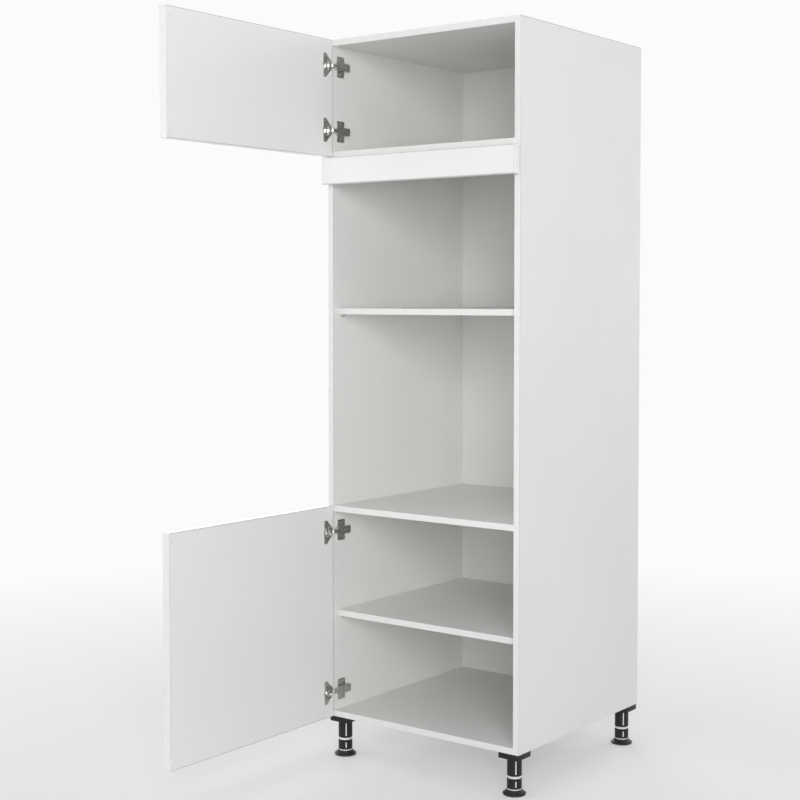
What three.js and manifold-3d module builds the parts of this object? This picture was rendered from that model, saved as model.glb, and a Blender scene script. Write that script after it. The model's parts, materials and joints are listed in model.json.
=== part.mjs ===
// Tall oven housing unit: a 600 mm frameless cabinet on adjustable legs, doors open at a right angle.
// Millimetres, +Z up. Origin on the floor, at the middle of the carcass front plane.
import * as THREE from "three";
import { ConvexGeometry } from "three/addons/geometries/ConvexGeometry.js";
import { mergeVertices } from "three/addons/utils/BufferGeometryUtils.js";
import Module from "manifold-3d";

const wasm = await Module();
wasm.setup();

// ---- Driving dimensions -------------------------------------------------------------------------

// Carcass
const WIDTH = 600;
const DEPTH = 600;
const CARCASS_HEIGHT = 1788;
const BOARD = 16;
const BOARD_EASE = 0.5;
const BACK = 3;
const BACK_LAP = 8; // how far the back panels run into the side panels' rebates
const OVEN_SHELF_TOP = 564; // shelf levels are measured from the underside of the carcass
const UPPER_BAY = 275; // clear height between the upper shelf and the top panel

// Adjustable shelves, their supports and the bored rows that take them
const NICHE_SHELF_TOP = 1086;
const LOWER_SHELF_TOP = 282;
const SHELF_SETBACK = 20;
const SHELF_SIDE_GAP = 1;
const SHELF_REAR_GAP = 2;
const ROW_INSET = 37; // bored rows from the carcass front and back
const HOLE_PITCH = 32;
const HOLE_RADIUS = 2.5;
const HOLE_DEPTH = 10;
const NICHE_HOLES = { below: 1, above: 4 };
const LOWER_HOLES = { below: 2, above: 2 };
const PEG_FIT = 0.3;
const PEG_END_GAP = 2; // peg short of the bottom of its hole
const PEG_DROP = 4; // peg centre below the shelf
const SUPPORT_REACH = 10;
const SUPPORT_WIDTH = 8;
const SUPPORT_LIP = 2;
const SUPPORT_HEIGHT = 8;

// Cable and air outlets in the middle back panel
const OUTLET = { width: 160, height: 60, fromMiddle: 160, rise: 60 };

// Fronts
const FRONT = 22;
const FRONT_EASE = 1;
const FRONT_GAP = 3; // closed front to carcass
const SIDE_REVEAL = 1.5; // closed door short of each side
const DOOR_LAP = 14; // upper door over the edge of the upper shelf
const STRIP_JOINT = 3; // filler strip to upper door
const STRIP_HEIGHT = 70;
const BRACKET = { height: 40, leg: 30, plate: 2 };

// Open doors
const DOOR_STEP = 2; // open door's inner face stands in from the side panel's inner face
const OPEN_GAP = 3; // open door's hinge edge stands off the carcass front

// Hinges
const HINGE_INSET = 68; // hinge middle from each end of its door
const BORE_RADIUS = 17.5;
const CUP_FIT = 0.3;
const CUP_WALL = 0.9;
const CUP_FLOOR = 0.7;
const FLANGE = { plate: 1.2, length: 62, width: 14, setback: 9.5, web: 9.3, rim: 18.6, corner: 4 };
const NOTCH = { sideGap: 1, depth: 3 };
const PIN_RADIUS = 1.25;
const PIN_FIT = 0.2;
const EYE_WALL = 0.95;
const EYE_GAP = { floor: 0.65, wall: 1.15 }; // arm's eye to the inside of the cup
const NECK = { plate: 2.8, width: 8, bend: 6.5 };
const ARM = { height: 11.75, width: 20, side: 2, start: 2, end: 58, taper: 10 };
const PLATE = { plate: 2.5, front: 15, rear: 45, length: 55, corner: 3 };
const BLOCK = { frontGap: 3, rear: 53, sideFit: 0.7, topFit: 0.3 };
const SCREW = { head: 3.5, cap: 1.4, shank: 2, slot: 1.6, driver: 0.8, endGap: 2.25 };
const FIX_SCREW_AT = 46; // screws on the arm, from the carcass front
const SET_SCREW_AT = 22;

// Legs, from the floor up
const LEG_HEIGHT = 107;
const SOCKET = { side: 62, height: 14, corner: 8, ease: 1 };
const SPIGOT = { radius: 15, length: 10 };
const LEG_RADIUS = 18.5;
const LEG_FIT = 0.3;
const SOLE = { radius: 28.75, inset: 2.25, bevel: 2, edge: 5, top: 13.5, neck: 19.5 };
const GROOVE = { height: 2.8, depth: 1.5 };
const KNURL = { top: 40.5, chamfer: 4 };
const COLLAR = { radius: 14.5, height: 3.2 };
const SPINDLE = { radius: 9, length: 32 };
const SLOT = { count: 4, width: 3.2, depth: 1.6, margin: 5 };

// Facets round a full turn, and steps in the rounded corners of an outline
const ROUND = 24;
const EYE_ROUND = 16;
const SMALL_ROUND = 12;
const HOLE_ROUND = 8;
const CORNER_STEPS = 2;
const OUTLET_STEPS = 3;

const PAST = 1; // how far a cutter runs past the face it opens

// ---- Derived places -----------------------------------------------------------------------------

const half = WIDTH / 2;
const innerHalf = half - BOARD;
const innerDepth = DEPTH - BACK;
const upperShelfTop = CARCASS_HEIGHT - BOARD - UPPER_BAY;
const doorWidth = WIDTH - 2 * SIDE_REVEAL;
const upperDoorBottom = upperShelfTop - DOOR_LAP;
const stripTop = upperDoorBottom - STRIP_JOINT;
const stripBottom = stripTop - STRIP_HEIGHT;
const openFace = -innerHalf + DOOR_STEP; // X of the open doors' inner faces
const rowPlaces = { front: ROW_INSET, rear: DEPTH - ROW_INSET };

// The one axis that carries a door's hinge edge from its closed place to its open one.
const pinX = (openFace - half + SIDE_REVEAL - OPEN_GAP + FRONT_GAP) / 2;
const pinY = (-OPEN_GAP - FRONT_GAP - openFace - half + SIDE_REVEAL) / 2;

// The cup goes round the eye that turns on that axis, and the door is bored for the cup.
const eyeRadius = PIN_RADIUS + PIN_FIT + EYE_WALL;
const cupRadius = BORE_RADIUS - CUP_FIT;
const cupCentre = pinY - (cupRadius - CUP_WALL - eyeRadius - EYE_GAP.wall);
const cupDepth = openFace - pinX + eyeRadius + EYE_GAP.floor + CUP_FLOOR;

// ---- Materials ----------------------------------------------------------------------------------

const finish = (color, roughness, metalness) =>
  new THREE.MeshStandardMaterial({ color, roughness, metalness, flatShading: true });

const boardWhite = finish(0xf1f1ee, 0.55, 0);
const frontWhite = finish(0xf7f7f5, 0.35, 0);
const backWhite = finish(0xeceae6, 0.6, 0);
const legBlack = finish(0x1c1c1e, 0.5, 0);
const nickel = finish(0xb9bbbd, 0.3, 1);
const steel = finish(0x8f9296, 0.35, 1);
const supportGrey = finish(0xc9cbcc, 0.35, 1);

// ---- Solids -------------------------------------------------------------------------------------

// A closed mesh as a solid, with doubled points merged and empty triangles left out.
function solid(geometry) {
  const plain = geometry.clone();
  plain.deleteAttribute("normal");
  plain.deleteAttribute("uv");
  const merged = mergeVertices(plain, 1e-4);
  const corners = [];
  for (let i = 0; i < merged.index.count; i += 3) {
    const [a, b, c] = [0, 1, 2].map((step) => merged.index.getX(i + step));
    if (a !== b && b !== c && c !== a) corners.push(a, b, c);
  }
  const mesh = new wasm.Mesh({
    numProp: 3,
    vertProperties: new Float32Array(merged.attributes.position.array),
    triVerts: new Uint32Array(corners),
  });
  return new wasm.Manifold(mesh);
}

function surface(body) {
  const mesh = body.getMesh();
  const geometry = new THREE.BufferGeometry();
  geometry.setAttribute("position", new THREE.BufferAttribute(mesh.vertProperties, 3));
  geometry.setIndex(new THREE.BufferAttribute(mesh.triVerts, 1));
  geometry.computeVertexNormals();
  return geometry;
}

const join = (...pieces) =>
  surface(pieces.map(solid).reduce((whole, piece) => whole.add(piece)));

const cut = (blank, ...tools) =>
  surface(tools.map(solid).reduce((rest, tool) => rest.subtract(tool), solid(blank)));

function box(low, high) {
  const size = high.map((value, axis) => value - low[axis]);
  const middle = high.map((value, axis) => (value + low[axis]) / 2);
  return new THREE.BoxGeometry(...size).translate(...middle);
}

// A box with every edge eased: each corner becomes a small triangle.
function board(low, high, ease) {
  const points = [];
  for (let corner = 0; corner < 8; corner += 1) {
    const upper = [corner & 1, corner & 2, corner & 4].map(Boolean);
    for (let kept = 0; kept < 3; kept += 1) {
      const place = upper.map((isUpper, axis) => {
        const inset = axis === kept ? 0 : ease;
        return isUpper ? high[axis] - inset : low[axis] + inset;
      });
      points.push(new THREE.Vector3(...place));
    }
  }
  return new ConvexGeometry(points);
}

// Cylinders and outlines along a chosen axis.
const rodZ = (radius, low, high, facets) =>
  new THREE.CylinderGeometry(radius, radius, high - low, facets)
    .rotateX(Math.PI / 2)
    .translate(0, 0, (low + high) / 2);

const rodX = (radius, low, high, facets) =>
  new THREE.CylinderGeometry(radius, radius, high - low, facets)
    .rotateZ(-Math.PI / 2)
    .translate((low + high) / 2, 0, 0);

const extrude = (shape, depth, curveSegments = CORNER_STEPS) =>
  new THREE.ExtrudeGeometry(shape, { depth, curveSegments, bevelEnabled: false });

// An outline drawn in (Y, Z) and given its thickness along X.
function extrudeX(shape, low, high, curveSegments) {
  const turn = new THREE.Matrix4().set(0, 0, 1, low, 1, 0, 0, 0, 0, 1, 0, 0, 0, 0, 0, 1);
  return extrude(shape, high - low, curveSegments).applyMatrix4(turn);
}

// An outline drawn in (X, Z) and given its thickness along Y.
function extrudeY(shape, low, high, curveSegments) {
  const turn = new THREE.Matrix4().set(1, 0, 0, 0, 0, 0, -1, high, 0, 1, 0, 0, 0, 0, 0, 1);
  return extrude(shape, high - low, curveSegments).applyMatrix4(turn);
}

// A turned piece about Z from a profile of [radius, height] points.
const turned = (profile) =>
  new THREE.LatheGeometry(
    profile.map(([radius, height]) => new THREE.Vector2(radius, height)),
    ROUND,
  ).rotateX(Math.PI / 2);

function roundedRectangle(width, height, radius) {
  const x = width / 2 - radius;
  const y = height / 2 - radius;
  const shape = new THREE.Shape();
  shape.absarc(x, y, radius, 0, Math.PI / 2);
  shape.absarc(-x, y, radius, Math.PI / 2, Math.PI);
  shape.absarc(-x, -y, radius, Math.PI, Math.PI * 1.5);
  shape.absarc(x, -y, radius, Math.PI * 1.5, Math.PI * 2);
  shape.closePath();
  return shape;
}

function place(group, name, geometry, material) {
  const mesh = new THREE.Mesh(geometry, material);
  mesh.name = name;
  group.add(mesh);
  return mesh;
}

// ---- Carcass ------------------------------------------------------------------------------------

const SIDES = { left: -1, right: 1 };

// Heights of the bored holes that can carry one adjustable shelf.
function holeHeights(shelfTop, { below, above }) {
  const peg = shelfTop - BOARD - PEG_DROP;
  const steps = Array.from({ length: below + above + 1 }, (_, index) => index - below);
  return steps.map((step) => peg + step * HOLE_PITCH);
}

function sidePanel(side) {
  const outer = side * half;
  const inner = side * innerHalf;
  const low = Math.min(outer, inner);
  const blank = board([low, 0, 0], [low + BOARD, DEPTH, CARCASS_HEIGHT], BOARD_EASE);
  const rebate = box(
    [Math.min(inner - side, inner + side * BACK_LAP), innerDepth, -PAST],
    [Math.max(inner - side, inner + side * BACK_LAP), DEPTH + PAST, CARCASS_HEIGHT + PAST],
  );
  const heights = [
    ...holeHeights(NICHE_SHELF_TOP, NICHE_HOLES),
    ...holeHeights(LOWER_SHELF_TOP, LOWER_HOLES),
  ];
  const ends = [inner - side, inner + side * HOLE_DEPTH];
  const holes = heights.flatMap((height) =>
    Object.values(rowPlaces).map((row) =>
      rodX(HOLE_RADIUS, Math.min(...ends), Math.max(...ends), HOLE_ROUND).translate(0, row, height),
    ),
  );
  return cut(blank, rebate, ...holes);
}

const fixedShelf = (top) =>
  board([-innerHalf, 0, top - BOARD], [innerHalf, innerDepth, top], BOARD_EASE);

function looseShelf(top) {
  const reach = innerHalf - SHELF_SIDE_GAP;
  return board(
    [-reach, SHELF_SETBACK, top - BOARD],
    [reach, innerDepth - SHELF_REAR_GAP, top],
    BOARD_EASE,
  );
}

function backPanel(bottom, top) {
  const reach = innerHalf + BACK_LAP;
  return box([-reach, innerDepth, bottom], [reach, DEPTH, top]);
}

// The middle back panel has an outlet low behind each appliance.
function outletBackPanel(bottom, top) {
  const outlets = [OVEN_SHELF_TOP, NICHE_SHELF_TOP].map((shelfTop) =>
    extrudeY(
      roundedRectangle(OUTLET.width, OUTLET.height, OUTLET.height / 2),
      innerDepth - PAST,
      DEPTH + PAST,
      OUTLET_STEPS,
    ).translate(OUTLET.fromMiddle, 0, shelfTop + OUTLET.rise),
  );
  return cut(backPanel(bottom, top), ...outlets);
}

// A plug-in support: a peg in the side panel and a gusset under the shelf.
function shelfSupport() {
  const gusset = new THREE.Shape();
  gusset.moveTo(0, PEG_DROP);
  gusset.lineTo(SUPPORT_REACH, PEG_DROP);
  gusset.lineTo(SUPPORT_REACH, PEG_DROP - SUPPORT_LIP);
  gusset.lineTo(SUPPORT_LIP, PEG_DROP - SUPPORT_HEIGHT);
  gusset.lineTo(0, PEG_DROP - SUPPORT_HEIGHT);
  gusset.closePath();
  return join(
    rodX(HOLE_RADIUS - PEG_FIT, PEG_END_GAP - HOLE_DEPTH, SUPPORT_LIP / 2, HOLE_ROUND),
    extrudeY(gusset, -SUPPORT_WIDTH / 2, SUPPORT_WIDTH / 2),
  );
}

function addSupports(group, shelfName, shelfTop) {
  const geometry = shelfSupport();
  for (const [sideName, side] of Object.entries(SIDES)) {
    for (const [rowName, row] of Object.entries(rowPlaces)) {
      const name = `${shelfName}_support_${rowName}_${sideName}`;
      const mesh = place(group, name, geometry, supportGrey);
      mesh.position.set(side * innerHalf, row, shelfTop - BOARD - PEG_DROP);
      mesh.rotation.z = side < 0 ? 0 : Math.PI;
    }
  }
}

function addCarcass(group) {
  const ovenJoint = OVEN_SHELF_TOP - BOARD / 2;
  const upperJoint = upperShelfTop - BOARD / 2;
  place(group, "side_panel_left", sidePanel(SIDES.left), boardWhite);
  place(group, "side_panel_right", sidePanel(SIDES.right), boardWhite);
  place(group, "bottom_panel", fixedShelf(BOARD), boardWhite);
  place(group, "top_panel", fixedShelf(CARCASS_HEIGHT), boardWhite);
  place(group, "oven_shelf", fixedShelf(OVEN_SHELF_TOP), boardWhite);
  place(group, "upper_shelf", fixedShelf(upperShelfTop), boardWhite);
  place(group, "back_panel_lower", backPanel(0, ovenJoint), backWhite);
  place(group, "back_panel_middle", outletBackPanel(ovenJoint, upperJoint), backWhite);
  place(group, "back_panel_upper", backPanel(upperJoint, CARCASS_HEIGHT), backWhite);
  place(group, "niche_shelf", looseShelf(NICHE_SHELF_TOP), boardWhite);
  place(group, "lower_shelf", looseShelf(LOWER_SHELF_TOP), boardWhite);
  addSupports(group, "niche_shelf", NICHE_SHELF_TOP);
  addSupports(group, "lower_shelf", LOWER_SHELF_TOP);
}

// ---- Fronts -------------------------------------------------------------------------------------

const hingeHeights = (bottom, top) => ({
  lower: bottom + HINGE_INSET,
  upper: top - HINGE_INSET,
});

// A door slab in its open place, bored for the two hinge cups.
function door(bottom, top) {
  const slab = board(
    [openFace - FRONT, -OPEN_GAP - doorWidth, bottom],
    [openFace, -OPEN_GAP, top],
    FRONT_EASE,
  );
  const bottomOfBore = openFace - cupDepth - CUP_FIT;
  const bores = Object.values(hingeHeights(bottom, top)).map((height) =>
    rodX(BORE_RADIUS, bottomOfBore, openFace + PAST, ROUND).translate(0, cupCentre, height),
  );
  return cut(slab, ...bores);
}

// An angle that holds one end of the filler strip off the side panel.
function stripBracket(side) {
  const { height, leg, plate } = BRACKET;
  const outline = new THREE.Shape();
  outline.moveTo(0, -FRONT_GAP);
  outline.lineTo(-side * leg, -FRONT_GAP);
  outline.lineTo(-side * leg, -FRONT_GAP + plate);
  outline.lineTo(-side * plate, -FRONT_GAP + plate);
  outline.lineTo(-side * plate, leg - FRONT_GAP);
  outline.lineTo(0, leg - FRONT_GAP);
  outline.closePath();
  const middle = (stripTop + stripBottom) / 2;
  return extrude(outline, height).translate(side * innerHalf, 0, middle - height / 2);
}

function addFronts(group) {
  const strip = board(
    [-half, -FRONT_GAP - FRONT, stripBottom],
    [half, -FRONT_GAP, stripTop],
    FRONT_EASE,
  );
  place(group, "upper_door", door(upperDoorBottom, CARCASS_HEIGHT), frontWhite);
  place(group, "lower_door", door(0, OVEN_SHELF_TOP), frontWhite);
  place(group, "filler_strip", strip, frontWhite);
  place(group, "filler_bracket_left", stripBracket(SIDES.left), steel);
  place(group, "filler_bracket_right", stripBracket(SIDES.right), steel);
}

// ---- Hinges -------------------------------------------------------------------------------------
// Drawn about the pin: X across the carcass, Y towards its back, Z along the pin.

const panelFace = -innerHalf - pinX;
const carcassFront = -pinY;
const doorFace = openFace - pinX;
const cupMiddle = cupCentre - pinY;
const pinReach = Math.sqrt(cupRadius ** 2 - (PIN_RADIUS - cupMiddle) ** 2) - PIN_FIT;
const webOuter = panelFace + ARM.height;
const webInner = webOuter - NECK.plate;
const plateTop = panelFace + PLATE.plate;
const shoulder = carcassFront + ARM.start + ARM.taper; // where the arm reaches its full width

// The flange lies behind the cup's middle and runs forward to the rim in two tapering webs.
function flangeWebs() {
  const { length, width, setback, web, rim, corner } = FLANGE;
  const tip = length / 2 - corner;
  const meet = Math.sqrt(rim ** 2 - web ** 2);
  const shape = new THREE.Shape();
  shape.moveTo(-setback, -tip);
  shape.lineTo(width / 2 - setback, -tip);
  shape.lineTo(web, -meet);
  shape.lineTo(web, meet);
  shape.lineTo(width / 2 - setback, tip);
  shape.lineTo(-setback, tip);
  shape.closePath();
  return shape;
}

function hingeCup() {
  const inner = cupRadius - CUP_WALL;
  const floor = cupDepth - CUP_FLOOR;
  const notchHalf = NECK.width / 2 + NOTCH.sideGap;
  const { plate, length, width, setback, rim, corner } = FLANGE;
  const bowl = turned([
    [0, -cupDepth],
    [cupRadius, -cupDepth],
    [cupRadius, 0],
    [rim, 0],
    [rim, plate],
    [inner, plate],
    [inner, -floor],
    [0, -floor],
  ]).rotateY(Math.PI / 2);
  const wings = extrudeX(roundedRectangle(width, length, corner), 0, plate);
  const webs = extrudeX(flangeWebs(), 0, plate);
  const mouth = rodX(inner, -floor, plate + PAST, ROUND);
  const notch = box(
    [-NOTCH.depth, 0, -notchHalf],
    [plate + PAST, rim + PAST, notchHalf],
  );
  const pinHole = rodZ(PIN_RADIUS + PIN_FIT, -cupRadius, cupRadius, SMALL_ROUND);
  const flange = join(wings.translate(0, -setback, 0), webs);
  const placed = join(bowl, flange).translate(doorFace, cupMiddle, 0);
  return cut(
    placed,
    mouth.translate(doorFace, cupMiddle, 0),
    notch.translate(doorFace, cupMiddle, 0),
    pinHole,
  );
}

const hingePin = () => rodZ(PIN_RADIUS, -pinReach, pinReach, SMALL_ROUND);

// The neck leaves its eye low in the cup, then bends up to the arm.
function neckOutline() {
  const { plate, bend } = NECK;
  const bendX = webOuter - bend;
  const bendY = bend - eyeRadius;
  const shape = new THREE.Shape();
  shape.moveTo(0, -eyeRadius);
  shape.lineTo(bendX, -eyeRadius);
  shape.absarc(bendX, bendY, bend, -Math.PI / 2, 0);
  shape.lineTo(webOuter, shoulder);
  shape.lineTo(webInner, shoulder);
  shape.lineTo(webInner, bendY);
  shape.absarc(bendX, bendY, bend - plate, 0, -Math.PI / 2, true);
  shape.lineTo(0, plate - eyeRadius);
  shape.closePath();
  return shape;
}

// The arm seen from the side panel: narrow at the neck, square at the back.
function armOutline() {
  const low = carcassFront + ARM.start;
  const high = carcassFront + ARM.end;
  const shape = new THREE.Shape();
  shape.moveTo(low, -NECK.width / 2);
  shape.lineTo(shoulder, -ARM.width / 2);
  shape.lineTo(high - ARM.side, -ARM.width / 2);
  shape.lineTo(high, -ARM.width / 2 + ARM.side);
  shape.lineTo(high, ARM.width / 2 - ARM.side);
  shape.lineTo(high - ARM.side, ARM.width / 2);
  shape.lineTo(shoulder, ARM.width / 2);
  shape.lineTo(low, NECK.width / 2);
  shape.closePath();
  return shape;
}

const screwHole = (radius, fromFront) =>
  rodX(radius, panelFace + PLATE.plate, webOuter + PAST, SMALL_ROUND).translate(
    0,
    carcassFront + fromFront,
    0,
  );

function hingeArm() {
  const neck = extrude(neckOutline(), NECK.width).translate(0, 0, -NECK.width / 2);
  const eye = rodZ(eyeRadius, -NECK.width / 2, NECK.width / 2, EYE_ROUND);
  const channel = extrudeX(armOutline(), plateTop + BLOCK.topFit, webOuter);
  const hollow = box(
    [plateTop, shoulder, -ARM.width / 2 + ARM.side],
    [webInner, carcassFront + ARM.end + PAST, ARM.width / 2 - ARM.side],
  );
  const pinHole = rodZ(PIN_RADIUS + PIN_FIT, -NECK.width, NECK.width, SMALL_ROUND);
  return cut(
    join(neck, eye, channel),
    hollow,
    pinHole,
    screwHole(SCREW.shank + PIN_FIT, FIX_SCREW_AT),
    screwHole(SCREW.shank + PIN_FIT, SET_SCREW_AT),
  );
}

// The mounting plate: cross wings on the side panel and the block that the arm sits over.
function mountingPlate() {
  const { plate, front, rear, length, corner } = PLATE;
  const wings = extrudeX(
    roundedRectangle(rear - front, length, corner),
    panelFace,
    panelFace + plate,
  ).translate(0, carcassFront + (front + rear) / 2, 0);
  const blockHalf = ARM.width / 2 - ARM.side - BLOCK.sideFit;
  const block = box(
    [panelFace, shoulder + BLOCK.frontGap, -blockHalf],
    [webInner - BLOCK.topFit, carcassFront + BLOCK.rear, blockHalf],
  );
  return cut(
    join(wings, block),
    screwHole(SCREW.shank + PIN_FIT, FIX_SCREW_AT),
    screwHole(SCREW.shank + PIN_FIT, SET_SCREW_AT),
  );
}

// A slotted pan-head screw through the arm into the block.
function armScrew() {
  const { head, cap, shank, slot, driver, endGap } = SCREW;
  const reach = webOuter - plateTop - endGap;
  const blank = join(
    rodX(head, 0, cap, SMALL_ROUND),
    rodX(shank, -reach, cap / 2, SMALL_ROUND),
  );
  const drive = box(
    [cap - driver, -head - PAST, -slot / 2],
    [cap + PAST, head + PAST, slot / 2],
  );
  return cut(blank, drive);
}

function addHinges(group) {
  const cup = hingeCup();
  const pin = hingePin();
  const arm = hingeArm();
  const mount = mountingPlate();
  const screw = armScrew();
  const doors = {
    upper: hingeHeights(upperDoorBottom, CARCASS_HEIGHT),
    lower: hingeHeights(0, OVEN_SHELF_TOP),
  };
  for (const [doorName, heights] of Object.entries(doors)) {
    for (const [level, height] of Object.entries(heights)) {
      const hinge = new THREE.Group();
      hinge.position.set(pinX, pinY, height);
      group.add(hinge);
      const prefix = `${doorName}_door_${level}_hinge`;
      place(hinge, `${prefix}_cup`, cup, nickel);
      place(hinge, `${prefix}_pin`, pin, steel);
      place(hinge, `${prefix}_arm`, arm, nickel);
      place(hinge, `${prefix}_plate`, mount, nickel);
      const fixing = place(hinge, `${prefix}_fixing_screw`, screw, steel);
      fixing.position.set(webOuter, carcassFront + FIX_SCREW_AT, 0);
      const setting = place(hinge, `${prefix}_set_screw`, screw, steel);
      setting.position.set(webOuter, carcassFront + SET_SCREW_AT, 0);
    }
  }
}

// ---- Legs ---------------------------------------------------------------------------------------
// Drawn about the leg's own axis, from the floor up.

const legInset = SOCKET.side / 2;
const socketBottom = LEG_HEIGHT - SOCKET.height;
const knurlBottom = SOLE.top + GROOVE.height;
const collarBottom = KNURL.top + KNURL.chamfer;
const tubeBottom = collarBottom + COLLAR.height + LEG_FIT;

// Upright slots round a turned piece, facing the corners of the carcass.
function slots(bottom, top) {
  return Array.from({ length: SLOT.count }, (_, index) => {
    const turn = ((index + 0.5) / SLOT.count) * Math.PI * 2;
    return box(
      [LEG_RADIUS - SLOT.depth, -SLOT.width / 2, bottom],
      [LEG_RADIUS + PAST, SLOT.width / 2, top],
    ).rotateZ(turn);
  });
}

function legSocket() {
  const { side, height, corner, ease } = SOCKET;
  const shape = roundedRectangle(side - 2 * ease, side - 2 * ease, corner - ease);
  const blank = new THREE.ExtrudeGeometry(shape, {
    depth: height - 2 * ease,
    bevelThickness: ease,
    bevelSize: ease,
    bevelSegments: 1,
    curveSegments: CORNER_STEPS,
  }).translate(0, 0, socketBottom + ease);
  const seat = rodZ(
    SPIGOT.radius + LEG_FIT,
    socketBottom - PAST,
    socketBottom + SPIGOT.length + LEG_FIT,
    ROUND,
  );
  return cut(blank, seat);
}

function legTube() {
  const bore = SPINDLE.radius + LEG_FIT;
  const boreTop = tubeBottom + SPINDLE.length + LEG_FIT;
  const blank = turned([
    [0, boreTop],
    [bore, boreTop],
    [bore, tubeBottom],
    [LEG_RADIUS, tubeBottom],
    [LEG_RADIUS, socketBottom],
    [SPIGOT.radius, socketBottom],
    [SPIGOT.radius, socketBottom + SPIGOT.length],
    [0, socketBottom + SPIGOT.length],
  ]);
  return cut(blank, ...slots(tubeBottom + SLOT.margin, socketBottom + PAST));
}

function legFoot() {
  const seat = tubeBottom - LEG_FIT;
  const blank = turned([
    [0, 0],
    [SOLE.radius - SOLE.inset, 0],
    [SOLE.radius, SOLE.bevel],
    [SOLE.radius, SOLE.edge],
    [SOLE.neck, SOLE.top],
    [LEG_RADIUS - GROOVE.depth, SOLE.top],
    [LEG_RADIUS - GROOVE.depth, knurlBottom],
    [LEG_RADIUS, knurlBottom],
    [LEG_RADIUS, KNURL.top],
    [COLLAR.radius, collarBottom],
    [COLLAR.radius, seat],
    [SPINDLE.radius, seat],
    [SPINDLE.radius, seat + SPINDLE.length],
    [0, seat + SPINDLE.length],
  ]);
  return cut(blank, ...slots(knurlBottom + SLOT.margin, KNURL.top - SLOT.margin));
}

function addLegs(group) {
  const socket = legSocket();
  const tube = legTube();
  const foot = legFoot();
  for (const [sideName, side] of Object.entries(SIDES)) {
    for (const [rowName, y] of Object.entries({ front: legInset, rear: DEPTH - legInset })) {
      const leg = new THREE.Group();
      leg.position.set(side * (half - legInset), y, 0);
      group.add(leg);
      const prefix = `leg_${rowName}_${sideName}`;
      place(leg, `${prefix}_socket`, socket, legBlack);
      place(leg, `${prefix}_tube`, tube, legBlack);
      place(leg, `${prefix}_foot`, foot, legBlack);
    }
  }
}

// ---- The whole unit -----------------------------------------------------------------------------

const unit = new THREE.Group();
const cabinet = new THREE.Group();
cabinet.position.z = LEG_HEIGHT;
unit.add(cabinet);
addCarcass(cabinet);
addFronts(cabinet);
addHinges(cabinet);
addLegs(unit);

export default unit;
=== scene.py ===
"""Tall oven housing unit in white board, with both doors open, on black adjustable legs.

Metres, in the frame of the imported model: floor at Z 0, carcass front at Y 0, back towards +Y.
"""

import json
import math

import bmesh
import bpy
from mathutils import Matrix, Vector


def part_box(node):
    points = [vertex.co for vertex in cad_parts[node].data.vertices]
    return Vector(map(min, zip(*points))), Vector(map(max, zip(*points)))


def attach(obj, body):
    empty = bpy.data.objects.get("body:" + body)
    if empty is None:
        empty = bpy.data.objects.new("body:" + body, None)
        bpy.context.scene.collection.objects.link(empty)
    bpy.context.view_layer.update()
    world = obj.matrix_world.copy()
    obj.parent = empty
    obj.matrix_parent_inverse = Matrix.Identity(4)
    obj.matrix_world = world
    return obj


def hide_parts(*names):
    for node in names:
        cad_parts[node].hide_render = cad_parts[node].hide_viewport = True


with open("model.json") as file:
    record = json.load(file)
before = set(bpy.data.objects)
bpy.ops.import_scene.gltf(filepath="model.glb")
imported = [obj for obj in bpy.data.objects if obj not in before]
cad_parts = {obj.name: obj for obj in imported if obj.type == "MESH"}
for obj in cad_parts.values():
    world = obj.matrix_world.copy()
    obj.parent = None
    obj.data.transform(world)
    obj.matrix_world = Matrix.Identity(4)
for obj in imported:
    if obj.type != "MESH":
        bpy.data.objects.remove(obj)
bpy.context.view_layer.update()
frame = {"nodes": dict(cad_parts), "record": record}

MM = 0.001
X, Y, Z = 0, 1, 2

# ---- Colours --------------------------------------------------------------------------------

SLOT_COLOURS = {m["slot"]: tuple(m["base_color"][:3]) for m in frame["record"]["materials"]}
SEAM_GREY = (0.24, 0.24, 0.24)
CHIP_LIGHT = (0.62, 0.47, 0.31)
CHIP_DARK = (0.30, 0.20, 0.12)
HARDBOARD = (0.46, 0.33, 0.21)
PRIMER = (0.74, 0.73, 0.70)
PRIMER_DULL = (0.66, 0.65, 0.62)
# painted shade: grey for the dark line along a back panel's border, where the joint lies in
# shade
JOINT_SHADE_GREY = (0.2, 0.19, 0.18)
NAIL_GREY = (0.45, 0.45, 0.46)
DUST_TONE = (0.5, 0.48, 0.45)
LEG_TONE = (0.012, 0.012, 0.013)
# painted highlight: the pale colour of the strips and rings that stand in for light lines on
# the legs
PAINTED_HIGHLIGHT_PALE = (0.8, 0.8, 0.8)
BUFFER_CLEAR = (0.85, 0.87, 0.88)
FLOOR_PALE = (0.7, 0.702, 0.705)
BACKDROP = (0.965, 0.967, 0.97)
SKY = (0.96, 0.975, 1.0)

# ---- Finishes -------------------------------------------------------------------------------

# Mottled patterns: a noise's scale per metre, detail and roughness, and how it is drawn out
CLOUDS = {"noise": (2.6, 3.0, 0.5), "range": (0.35, 0.65)}
FINGER_MARKS = {"noise": (11.0, 4.0, 0.6), "range": (0.55, 0.75, 0.0, 0.09)}
WORN_PATCHES = {"noise": (35.0, 4.0, 0.65), "range": (0.5, 0.7)}
TARNISH_SPOTS = {"noise": (160.0, 3.0, 0.5), "range": (0.45, 0.75)}
DUST_PATCHES = {"noise": (140.0, 4.0, 0.7), "range": (0.4, 0.7)}
BLOTCHES = {"noise": (60.0, 2.0, 0.5), "range": (0.35, 0.65, 0.9, 1.1)}
FLOOR_GRAIN = {"noise": (3.0, 3.0, 0.5), "range": (0.3, 0.7, 0.985, 1.0)}

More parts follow.
